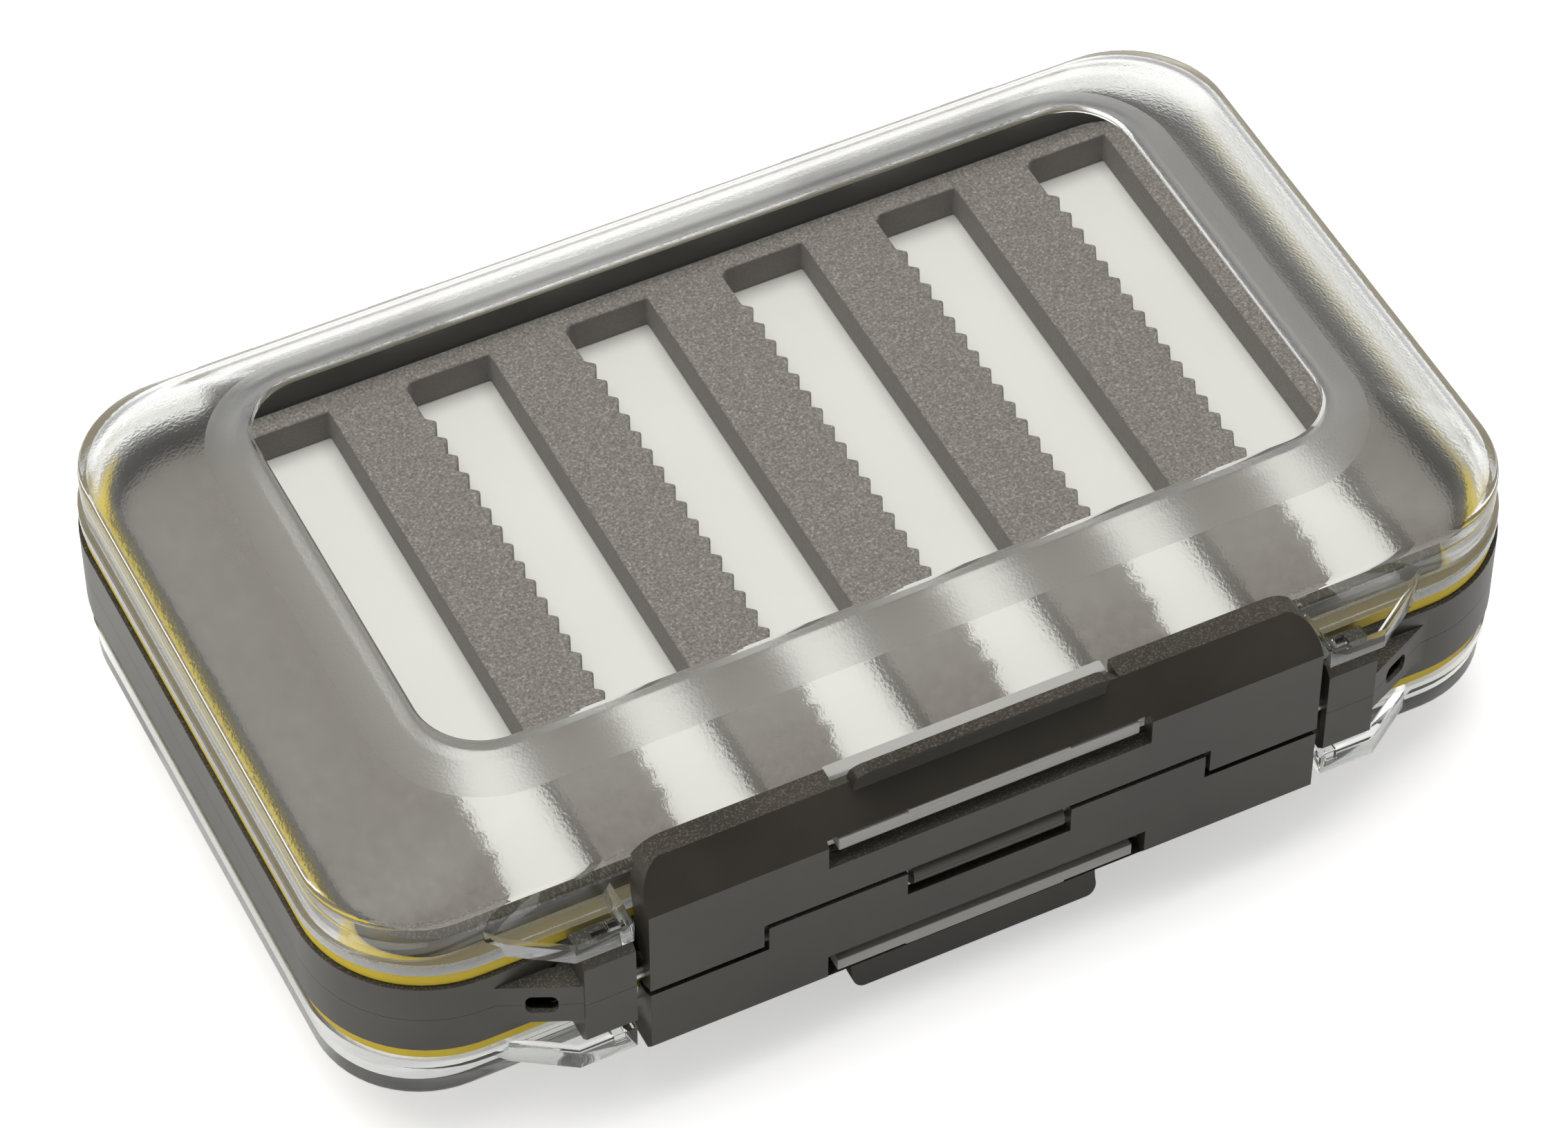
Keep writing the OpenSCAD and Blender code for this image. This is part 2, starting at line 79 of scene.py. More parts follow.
# ---------------------------------------------------------------- white table and studio light
# The box lies on a white laminate table under a large overhead soft box, with a weaker one
# at the left. The room is white on the far side and unlit behind the camera.
WHITE = "#FFFFFF"
TABLE_WHITE = "#F6F5F3"
TABLE_HALF = 1.6            # half the side of the table top, m
TABLE_ROUGH = 0.6
TABLE_GLOW = 0.5            # lifts the table where it is seen, and lights nothing

ROOM_FILL = 0.5             # the room's light on the object
ROOM_FRONT = 0.12           # the unlit side of the room
ROOM_TURN = (-0.75, -0.1)   # Y of the directions between which it goes from unlit to white
WINDOW_MIRROR = (CAMERA_AIM.x, CAMERA_AIM.y, -CAMERA_AIM.z)
FLAG_GREY = 0.15            # a dark flag hangs where the flat window would mirror the room
FLAG_EDGE = (0.5, 0.97)     # cosines from the flag's middle between which its edge fades in
LAMP_AIM = (0, 0, 0.02)     # the middle of the box, m


def linear(hex_colour):
    """An sRGB hex colour as the linear RGBA that shader sockets take."""
    parts = [int(hex_colour[i:i + 2], 16) / 255 for i in (1, 3, 5)]
    return [p / 12.92 if p <= 0.04045 else ((p + 0.055) / 1.055) ** 2.4 for p in parts] + [1.0]


def add(tree, kind, inputs=None, **settings):
    """Adds a node, sets its properties, and feeds its inputs with values or other sockets."""
    node = tree.nodes.new(kind)
    for name, value in settings.items():
        setattr(node, name, value)
    for name, value in (inputs or {}).items():
        if isinstance(value, bpy.types.NodeSocket):
            tree.links.new(value, node.inputs[name])
        else:
            node.inputs[name].default_value = value
    return node


def empty_material(name):
    """A new material with an empty node tree and its output node."""
    material = bpy.data.materials.new(name)
    material.use_nodes = True
    material.node_tree.nodes.clear()
    return material, material.node_tree, add(material.node_tree, "ShaderNodeOutputMaterial")


def place_mesh(name, bm, materials):
    """Turns a finished bmesh into an object at the origin with its materials."""
    mesh = bpy.data.meshes.new(name)
    bm.to_mesh(mesh)
    bm.free()
    for material in materials:
        mesh.materials.append(material)
    piece = bpy.data.objects.new(name, mesh)
    scene.collection.objects.link(piece)
    return piece


def soft_box(name, place, width, height, watts):
    """A rectangular studio soft box that points at the middle of the object."""
    lamp_data = bpy.data.lights.new(name, "AREA")
    lamp_data.shape = "RECTANGLE"
    lamp_data.size = width
    lamp_data.size_y = height
    lamp_data.energy = watts
    lamp = bpy.data.objects.new(name, lamp_data)
    scene.collection.objects.link(lamp)
    lamp.location = place
    lamp.rotation_euler = (Vector(LAMP_AIM) - Vector(place)).to_track_quat("-Z", "Y").to_euler()
    # the room alone is mirrored, so that no lamp edge lies on the lid
    lamp.visible_glossy = False
    lamp.visible_transmission = False


# matt laminate: the table top is an even white that still takes the object's shadow
laminate, tree, out = empty_material("white_laminate_table")
sight = add(tree, "ShaderNodeLightPath")
seen = add(tree, "ShaderNodeMath", {0: sight.outputs["Is Camera Ray"],
                                    1: sight.outputs["Is Transmission Ray"]},
           operation="MAXIMUM")
glow = add(tree, "ShaderNodeMath", {0: seen.outputs[0], 1: TABLE_GLOW}, operation="MULTIPLY")
board = add(tree, "ShaderNodeBsdfPrincipled", {
    "Base Color": linear(TABLE_WHITE), "Roughness": TABLE_ROUGH,
    "Emission Color": linear(WHITE), "Emission Strength": glow.outputs[0]})
tree.links.new(board.outputs[0], out.inputs["Surface"])

bm = bmesh.new()
bmesh.ops.create_grid(bm, x_segments=1, y_segments=1, size=TABLE_HALF)
bmesh.ops.translate(bm, verts=bm.verts, vec=(0, 0, cad_box[0][2]))
table = place_mesh("table_top", bm, [laminate])

world = bpy.data.worlds.new("white_room")
world.use_nodes = True
tree = world.node_tree
tree.nodes.clear()
sight = add(tree, "ShaderNodeLightPath")
way = add(tree, "ShaderNodeTexCoord")
split = add(tree, "ShaderNodeSeparateXYZ", {"Vector": way.outputs["Generated"]})
front = add(tree, "ShaderNodeMapRange", {
    "Value": split.outputs["Y"], "From Min": ROOM_TURN[0], "From Max": ROOM_TURN[1],
    "To Min": ROOM_FRONT, "To Max": 1.0}, interpolation_type="SMOOTHSTEP")
glare = add(tree, "ShaderNodeVectorMath", {0: way.outputs["Generated"], 1: WINDOW_MIRROR},
            operation="DOT_PRODUCT")
flag = add(tree, "ShaderNodeMapRange", {
    "Value": glare.outputs["Value"], "From Min": FLAG_EDGE[0], "From Max": FLAG_EDGE[1],
    "To Min": 1.0, "To Max": FLAG_GREY}, interpolation_type="SMOOTHSTEP")
studio = add(tree, "ShaderNodeMath", {0: front.outputs[0], 1: flag.outputs[0]},
             operation="MULTIPLY")
mirrored = add(tree, "ShaderNodeMath", {0: sight.outputs["Is Glossy Ray"],
                                        1: sight.outputs["Is Transmission Ray"]},
               operation="MAXIMUM")
fill = add(tree, "ShaderNodeMath", {0: front.outputs[0], 1: ROOM_FILL}, operation="MULTIPLY")
strength = add(tree, "ShaderNodeMix", {"Factor": mirrored.outputs[0], "A": fill.outputs[0],
                                       "B": studio.outputs[0]})
strength = add(tree, "ShaderNodeMix", {"Factor": sight.outputs["Is Camera Ray"],
                                       "A": strength.outputs[0], "B": 1.0})
room = add(tree, "ShaderNodeBackground", {"Color": linear(WHITE),
                                          "Strength": strength.outputs[0]})
add(tree, "ShaderNodeOutputWorld", {"Surface": room.outputs[0]})
scene.world = world

soft_box("overhead_soft_box", place=(-0.04, 0.12, 0.9), width=0.85, height=0.8, watts=7.4)
soft_box("left_soft_box", place=(-0.9, -0.3, 0.45), width=0.4, height=0.4, watts=0.9)
scene.view_settings.view_transform = "Standard"


# ---------------------------------------------------------------- frame halves
# Two identical mouldings in charcoal ABS, glued back to back at the middle plane.
# They carry the wall, the web, the front lugs and the rear hinge knuckles.
MM = 0.001
SIDES = ("upper", "lower")
FRAME_EDGE = 0.22           # moulded edge radius, mm
FRAME_ROUGH = 0.36
WELD = 1e-6                 # corners of the CAD triangles closer than this are one, m
FLAT_ENOUGH = 0.5           # faces that meet at less than this are one, degrees

CHARCOAL_ABS = "#35312A"
# paler charcoal: for the random flow blotches, and as painted light on the grain of level faces
CHARCOAL_PALE_AND_LIT = "#6A6660"
ABS_IOR = 1.52
GRAIN_MM = 0.26             # spark-eroded grain, drawn at twice its size so that it shows
GRAIN_DEPTH = 0.06          # mm
GRAIN_STRENGTH = (0.06, 0.5)    # on the sides, and on level faces
GRAIN_ROUGH = 0.7           # roughness of level faces
SPECKS = (0.5, 0.75)        # heights of the grain between which it is painted pale, as lit
LEVEL_FACES = (0.6, 0.85)   # rise of the normal between which the texture and its painted light set in
BLOTCH_MM = 16.67           # broad, faint patches left by the flow of the plastic
BLOTCHES = (0.3, 0.7)
BLOTCH_SHARE = 0.25


def charcoal(name, dark_hex, pale_and_lit_hex, roughness):
    """Moulded charcoal ABS: smooth satin sides and a coarser eroded texture on level faces,
    whose grain is painted pale there as the light it catches.
    """
    material, tree, out = empty_material(name)
    place = add(tree, "ShaderNodeTexCoord")
    grain = add(tree, "ShaderNodeTexNoise", {"Vector": place.outputs["Object"],
                                             "Scale": 1 / (GRAIN_MM * MM), "Detail": 2.0})
    cloud = add(tree, "ShaderNodeTexNoise", {"Vector": place.outputs["Object"],
                                             "Scale": 1 / (BLOTCH_MM * MM), "Detail": 3.0})
    facing = add(tree, "ShaderNodeNewGeometry")
    split = add(tree, "ShaderNodeSeparateXYZ", {"Vector": facing.outputs["Normal"]})
    level = add(tree, "ShaderNodeMath", {0: split.outputs["Z"]}, operation="ABSOLUTE")
    level = add(tree, "ShaderNodeMapRange", {
        "Value": level.outputs[0], "From Min": LEVEL_FACES[0], "From Max": LEVEL_FACES[1]})
    # painted light: on level faces the grain is drawn pale, as the light it catches
    lit_grain_speck = add(tree, "ShaderNodeMapRange", {
        "Value": grain.outputs[0], "From Min": SPECKS[0], "From Max": SPECKS[1]})
    lit_grain_speck = add(tree, "ShaderNodeMath", {0: lit_grain_speck.outputs[0], 1: level.outputs[0]},
                operation="MULTIPLY")
    blotch = add(tree, "ShaderNodeMapRange", {
        "Value": cloud.outputs[0], "From Min": BLOTCHES[0], "From Max": BLOTCHES[1],
        "To Min": 0.0, "To Max": BLOTCH_SHARE})
    tone = add(tree, "ShaderNodeMath", {0: blotch.outputs[0], 1: lit_grain_speck.outputs[0]},
               operation="ADD", use_clamp=True)
    colour = add(tree, "ShaderNodeMix", {"Factor": tone.outputs[0], 6: linear(dark_hex),
                                         7: linear(pale_and_lit_hex)}, data_type="RGBA")
    depth = add(tree, "ShaderNodeMapRange", {
        "Value": level.outputs[0], "To Min": GRAIN_STRENGTH[0], "To Max": GRAIN_STRENGTH[1]})
    rough = add(tree, "ShaderNodeMapRange", {
        "Value": level.outputs[0], "To Min": roughness, "To Max": GRAIN_ROUGH})
    bump = add(tree, "ShaderNodeBump", {
        "Height": grain.outputs[0], "Distance": GRAIN_DEPTH * MM, "Strength": depth.outputs[0]})
    plastic = add(tree, "ShaderNodeBsdfPrincipled", {
        "Base Color": colour.outputs[2], "Roughness": rough.outputs[0],
        "Normal": bump.outputs[0], "IOR": ABS_IOR})
    tree.links.new(plastic.outputs[0], out.inputs["Surface"])
    return material


def copy_node(node):
    """A welded copy of a CAD node's mesh, ready to be finished."""
    bm = bmesh.new()
    bm.from_mesh(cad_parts[node].data)
    bmesh.ops.remove_doubles(bm, verts=bm.verts, dist=WELD)
    bmesh.ops.dissolve_limit(bm, angle_limit=radians(FLAT_ENOUGH), verts=bm.verts,
                             edges=bm.edges)
    return bm


def round_edges(piece, width, segments=2, corner=32):
    """Moulded edge radii, width mm wide, on every edge sharper than the corner angle."""
    bevel = piece.modifiers.new("edge_radius", "BEVEL")
    bevel.width = width * MM
    bevel.segments = segments
    bevel.limit_method = "ANGLE"
    bevel.angle_limit = radians(corner)
    bevel.harden_normals = True
    piece.data.polygons.foreach_set("use_smooth", [True] * len(piece.data.polygons))
    piece.data.set_sharp_from_angle(angle=radians(corner))


frame_abs = charcoal("charcoal_abs_frame", CHARCOAL_ABS, CHARCOAL_PALE_AND_LIT, FRAME_ROUGH)
for side in SIDES:
    node = side + "_frame"
    piece = place_mesh(node + "_moulding", copy_node(node), [frame_abs])
    round_edges(piece, FRAME_EDGE)
    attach(piece, "frame")
    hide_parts(node)


# ---------------------------------------------------------------- seals
# A soft yellow silicone ring on each frame wall, die-cut or moulded, that the lid rim presses.
# Its long edges are slightly rounded and it has a dull, faintly uneven skin.
SEAL_YELLOW = "#E6CB34"
SEAL_DEEP = "#D2B62A"
SEAL_EDGE = 0.35            # mm
SEAL_ROUGH = 0.5
SEAL_CLOUD_MM = 4.545       # size of the uneven patches
SEAL_DEPTH = 0.05           # mm
SEAL_STRENGTH = 0.2
SILICONE_IOR = 1.41
SILICONE_SHARE = 0.15       # how much of the light goes into the rubber
SILICONE_REACH = (0.002, 0.0015, 0.0005)    # how far its red, green and blue go, m

silicone, tree, out = empty_material("yellow_silicone_seal")
place = add(tree, "ShaderNodeTexCoord")
cloud = add(tree, "ShaderNodeTexNoise", {"Vector": place.outputs["Object"],
                                         "Scale": 1 / (SEAL_CLOUD_MM * MM), "Detail": 3.0})
colour = add(tree, "ShaderNodeMix", {"Factor": cloud.outputs[0], 6: linear(SEAL_YELLOW),
                                     7: linear(SEAL_DEEP)}, data_type="RGBA")
bump = add(tree, "ShaderNodeBump", {"Height": cloud.outputs[0], "Distance": SEAL_DEPTH * MM,
                                    "Strength": SEAL_STRENGTH})
rubber = add(tree, "ShaderNodeBsdfPrincipled", {
    "Base Color": colour.outputs[2], "Roughness": SEAL_ROUGH, "IOR": SILICONE_IOR,
    "Subsurface Weight": SILICONE_SHARE, "Subsurface Radius": SILICONE_REACH,
    "Subsurface Scale": 1.0, "Normal": bump.outputs[0]})
tree.links.new(rubber.outputs[0], out.inputs["Surface"])

for side in SIDES:
    node = side + "_seal"
    piece = place_mesh(node + "_ring", copy_node(node), [silicone])
    round_edges(piece, SEAL_EDGE, 3)
    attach(piece, "frame")
    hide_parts(node)


# ---------------------------------------------------------------- backing sheets
# A thin white styrene sheet lies under each foam and shows through its slots.
# It is matt and slightly warm, with a faint unevenness.
SHEET_WHITE = "#F6F3EF"
SHEET_SHADE = "#EEEAE5"
SHEET_ROUGH = 0.45
SHEET_CLOUD_MM = 25         # size of the uneven patches

styrene, tree, out = empty_material("white_styrene_sheet")
place = add(tree, "ShaderNodeTexCoord")
cloud = add(tree, "ShaderNodeTexNoise", {"Vector": place.outputs["Object"],
                                         "Scale": 1 / (SHEET_CLOUD_MM * MM), "Detail": 2.0})
colour = add(tree, "ShaderNodeMix", {"Factor": cloud.outputs[0], 6: linear(SHEET_WHITE),
                                     7: linear(SHEET_SHADE)}, data_type="RGBA")
sheet = add(tree, "ShaderNodeBsdfPrincipled", {"Base Color": colour.outputs[2],
                                               "Roughness": SHEET_ROUGH})
tree.links.new(sheet.outputs[0], out.inputs["Surface"])
for side in SIDES:
    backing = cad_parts[side + "_backing"]
    backing.data.materials.clear()
    backing.data.materials.append(styrene)


# ---------------------------------------------------------------- foam inserts
# Die-cut closed-cell EVA foam, grey with darker and paler cells at its cut face.
# Hooks are pushed into fine slits that run across the bars from the teeth.
FOAM_GREY = "#958E88"
FOAM_DARK = "#6D6863"
FOAM_PALE = "#B7B0A9"
# painted shade, for the steep die-cut walls and inside the slits
FOAM_PAINTED_SHADE = "#7C7772"
FOAM_ROUGH = 0.9
FOAM_SHINE = 0.2            # foam mirrors less than a solid plastic
FOAM_SHEEN = 0.1            # and is a little paler where it is seen along its face
FOAM_EDGE = 0.25            # mm
FOAM_CORNER = 25            # edges sharper than this are rounded, degrees
CELL_MM = 0.34              # cells, drawn a little over life size so that they show
CELL_DEPTH = 0.12           # mm
CELL_STRENGTH = 0.6
CELL_CONTRAST = 0.75        # how crisp the cells are
GREY_CELLS = (0.36, 0.6)    # heights of the noise between which dark cells turn grey
PALE_CELLS = (0.58, 0.7)    # and grey cells pale
TOOTH_PITCH = 3.04          # mm
FIRST_TOOTH = 31.05         # mm from the middle of the box to the root of the last tooth
SLIT_MM = 0.15
SLIT_SHADE = 0.4            # how much of the painted shade a slit takes, for the shade inside the cut
SLIT_WAVE = 0.2             # how far a slit wanders, in tooth pitches
SLIT_WAVE_MM = 8.333        # and over what length
CUT_WALLS = (0.4, 0.8)      # rise of the normal between which the painted wall shade gives way to the top
WALL_SHADE_SHARE = 0.85            # how much painted shade a die-cut wall takes

eva, tree, out = empty_material("grey_eva_foam")
place = add(tree, "ShaderNodeTexCoord")
cells = add(tree, "ShaderNodeTexVoronoi", {"Vector": place.outputs["Object"],
                                           "Scale": 1 / (CELL_MM * MM)})
fine = add(tree, "ShaderNodeTexNoise", {"Vector": place.outputs["Object"],
                                        "Scale": 1 / (CELL_MM * MM), "Detail": 3.0,
                                        "Roughness": CELL_CONTRAST})
body_tone = add(tree, "ShaderNodeMapRange", {
    "Value": fine.outputs[0], "From Min": GREY_CELLS[0], "From Max": GREY_CELLS[1]})
colour = add(tree, "ShaderNodeMix", {"Factor": body_tone.outputs[0], 6: linear(FOAM_DARK),
                                     7: linear(FOAM_GREY)}, data_type="RGBA")
pale = add(tree, "ShaderNodeMapRange", {
    "Value": fine.outputs[0], "From Min": PALE_CELLS[0], "From Max": PALE_CELLS[1]})
colour = add(tree, "ShaderNodeMix", {"Factor": pale.outputs[0], 6: colour.outputs[2],
                                     7: linear(FOAM_PALE)}, data_type="RGBA")
# slits for the hooks run across the bars from the root of every tooth, a little wavy; each is
# drawn as a line of painted shade
split = add(tree, "ShaderNodeSeparateXYZ", {"Vector": place.outputs["Object"]})
broad = add(tree, "ShaderNodeTexNoise", {"Vector": place.outputs["Object"],
                                         "Scale": 1 / (SLIT_WAVE_MM * MM), "Detail": 3.0})
row = add(tree, "ShaderNodeMath", {0: split.outputs["Y"], 1: -1 / (TOOTH_PITCH * MM),
                                   2: FIRST_TOOTH / TOOTH_PITCH}, operation="MULTIPLY_ADD")
row = add(tree, "ShaderNodeMath", {0: broad.outputs[0], 1: SLIT_WAVE, 2: row.outputs[0]},
          operation="MULTIPLY_ADD")
row = add(tree, "ShaderNodeMath", {0: row.outputs[0], 1: 0.5}, operation="PINGPONG")
slit_shade_mask = add(tree, "ShaderNodeMapRange", {
    "Value": row.outputs[0], "From Min": 0.0, "From Max": SLIT_MM / TOOTH_PITCH,
    "To Min": SLIT_SHADE, "To Max": 0.0})
colour = add(tree, "ShaderNodeMix", {"Factor": slit_shade_mask.outputs[0], 6: colour.outputs[2],
                                     7: linear(FOAM_PAINTED_SHADE)}, data_type="RGBA")
# painted shade: the die-cut walls are drawn darker than the top, the more steeply they stand
facing = add(tree, "ShaderNodeNewGeometry")
split = add(tree, "ShaderNodeSeparateXYZ", {"Vector": facing.outputs["Normal"]})
level = add(tree, "ShaderNodeMath", {0: split.outputs["Z"]}, operation="ABSOLUTE")
wall_shade = add(tree, "ShaderNodeMapRange", {
    "Value": level.outputs[0], "From Min": CUT_WALLS[0], "From Max": CUT_WALLS[1],
    "To Min": WALL_SHADE_SHARE, "To Max": 0.0})
colour = add(tree, "ShaderNodeMix", {"Factor": wall_shade.outputs[0], 6: colour.outputs[2],
                                     7: linear(FOAM_PAINTED_SHADE)}, data_type="RGBA")
bump = add(tree, "ShaderNodeBump", {"Height": cells.outputs["Distance"],
                                    "Distance": CELL_DEPTH * MM, "Strength": CELL_STRENGTH})
foam_skin = add(tree, "ShaderNodeBsdfPrincipled", {
    "Base Color": colour.outputs[2], "Roughness": FOAM_ROUGH,
    "Specular IOR Level": FOAM_SHINE, "Sheen Weight": FOAM_SHEEN, "Normal": bump.outputs[0]})
tree.links.new(foam_skin.outputs[0], out.inputs["Surface"])

for side in SIDES:
    node = side + "_foam"
    piece = place_mesh(node + "_insert", copy_node(node), [eva])
    round_edges(piece, FOAM_EDGE, 2, FOAM_CORNER)
    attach(piece, "frame")
    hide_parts(node)


# ---------------------------------------------------------------- clear lids
# Injection-moulded clear polycarbonate: a polished flat window in a frosted border, then a
# sloping band with a fine orange-peel skin, and a clear rounded wall down to a flat rim.
# The lower lid is the upper one mirrored at the middle plane of the box.
CLEAR_TINT = "#FBFCFB"
LAMP_TINT = "#FAFBFA"       # what is left of the lamps' light behind one skin
ETCHED_GREY = "#C9C7C3"
SEALING_GREY = "#DEDCD7"
POLYCARBONATE_IOR = 1.5
ETCH_MM = 0.3               # grain of the eroded faces
ETCH_DEPTH = 0.04           # mm
ETCH_STRENGTH = 0.7
ETCH_ROUGH = 0.32


def clear_plastic(name, roughness, texture_mm=0.0, depth=0.0):
    """Clear polycarbonate; light from the lamps passes it, so that what is inside is lit."""
    material, tree, out = empty_material(name)
    shader = {"Base Color": linear(CLEAR_TINT), "Roughness": roughness,
              "IOR": POLYCARBONATE_IOR, "Transmission Weight": 1.0}
    if texture_mm:
        place = add(tree, "ShaderNodeTexCoord")
        peel = add(tree, "ShaderNodeTexNoise", {
            "Vector": place.outputs["Object"], "Scale": 1 / (texture_mm * MM), "Detail": 1.0})
        bump = add(tree, "ShaderNodeBump", {"Height": peel.outputs[0],
                                            "Distance": depth * MM, "Strength": 1.0})
        shader["Normal"] = bump.outputs[0]
    plastic = add(tree, "ShaderNodeBsdfPrincipled", shader)
    sight = add(tree, "ShaderNodeLightPath")
    lit = add(tree, "ShaderNodeMath", {0: sight.outputs["Is Shadow Ray"],
                                       1: sight.outputs["Is Diffuse Ray"]},
              operation="MAXIMUM")
    through = add(tree, "ShaderNodeBsdfTransparent", {"Color": linear(LAMP_TINT)})
    mix = add(tree, "ShaderNodeMixShader", {0: lit.outputs[0], 1: plastic.outputs[0],
                                            2: through.outputs[0]})
    tree.links.new(mix.outputs[0], out.inputs["Surface"])
    return material


def etched_plastic(name, hex_colour, transmission):
    """Eroded polycarbonate, which scatters a good part of the light at its skin."""
    material, tree, out = empty_material(name)
    place = add(tree, "ShaderNodeTexCoord")
    grain = add(tree, "ShaderNodeTexNoise", {"Vector": place.outputs["Object"],
                                             "Scale": 1 / (ETCH_MM * MM), "Detail": 2.0})
    bump = add(tree, "ShaderNodeBump", {"Height": grain.outputs[0],
                                        "Distance": ETCH_DEPTH * MM,
                                        "Strength": ETCH_STRENGTH})
    satin = add(tree, "ShaderNodeBsdfPrincipled", {
        "Base Color": linear(hex_colour), "Roughness": ETCH_ROUGH, "IOR": POLYCARBONATE_IOR,
        "Transmission Weight": transmission, "Normal": bump.outputs[0]})
    tree.links.new(satin.outputs[0], out.inputs["Surface"])
    return material


POLISHED, PEELED, FROSTED, ETCHED, SEALING = range(5)
LID_SKINS = [
    # moulded against polished steel: clear as glass, with sharp reflections
    clear_plastic("polished_polycarbonate", 0.0),
    # orange peel: highlights break up and what lies behind it wavers
    clear_plastic("orange_peel_polycarbonate", 0.2, texture_mm=0.4, depth=0.03),
    # finely frosted: the foam behind it is soft stripes
    clear_plastic("frosted_polycarbonate", 0.4, texture_mm=0.35, depth=0.03),
    # coarsely etched: pale grey and nearly blind, on the latch bar and its ledge
    etched_plastic("etched_polycarbonate", ETCHED_GREY, 0.35),
    # satin, under the rim: it spreads the yellow of the seal that it presses
    etched_plastic("satin_sealing_face", SEALING_GREY, 0.9),
]

# The lid's rings: half the length, half the width and the corner radius, all in mm.
RIM = (74.1, 45.0, 15.3)
WALL = (73.5, 43.3, 12.8)
WALL_INSIDE = (71.5, 41.3, 10.8)
FOLD = (61.1, 34.9, 13.4)
BORDER = (57.4, 31.2, 9.7)
WINDOW = (55.8, 29.6, 8.1)
CORNER_STEPS = 14

# Heights are above the middle plane of the box, in mm.
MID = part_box("upper_frame")[0][2]
LID_TOP = (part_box("upper_lid")[1][2] - MID) / MM
SEAL_GAP = 0.15             # the rim stands this far above the seal
RIM_THICK = 1.6
RIM_FOOT = (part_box("upper_seal")[1][2] + SEAL_GAP * MM - MID) / MM
RIM_TOP = RIM_FOOT + RIM_THICK
WALL_TOP = 14.1
SHOULDER_FOOT = 14.9
FOLD_HEIGHT = 20.5
BORDER_HEIGHT = 22.0

WALL_ROUND = 1.3            # radius at the top of the wall, mm
WALL_TURN = 44              # and how far it turns, degrees
ROUND_STEPS = 4
SHOULDER_STEPS = 8
SHOULDER_DOME = 0.3         # how far the shoulder bulges, as a share of its rise
SHOULDER_LEAN = (1.25, 0.75)    # inset of its inner skin at its foot and at the fold, mm
SHOULDER_DROP = 1.75        # how far its inner skin lies below the outer one, mm
CORNER_LEAN = 0.7           # how much of that inset the corner radius takes


def rounded_ring(bm, half_l, half_w, radius, z):
    """A closed loop of edges: a rounded rectangle lying flat at height z."""
    before = set(bm.edges)
    made = bmesh.ops.create_grid(bm, x_segments=1, y_segments=1, size=1.0)["verts"]
    bmesh.ops.scale(bm, vec=(half_l * MM, half_w * MM, 1), verts=made)
    bmesh.ops.translate(bm, vec=(0, 0, z * MM), verts=made)
    bmesh.ops.bevel(bm, geom=made, offset=radius * MM, segments=CORNER_STEPS, profile=0.5,
                    affect="VERTICES", material=-1)
    edges = [e for e in bm.edges if e not in before]
    bmesh.ops.delete(bm, geom=list(edges[0].link_faces), context="FACES_ONLY")
    return edges


def loft(bm, rings):
    """Bridges rounded rings one after the other; each ring ends with the skin after it."""
    loops = [rounded_ring(bm, *ring[:4]) for ring in rings]
    for here, after, ring in zip(loops, loops[1:], rings):
        made = bmesh.ops.bridge_loops(bm, edges=here + after)
        for face in made["faces"]:
            face.material_index = ring[4]
    return loops


def beside(ring, outward, z, corner=0.0, skin=POLISHED):
    """A ring moved outward in plan, at height z, with its corner radius changed."""
    return ring[0] + outward, ring[1] + outward, ring[2] + corner, z, skin


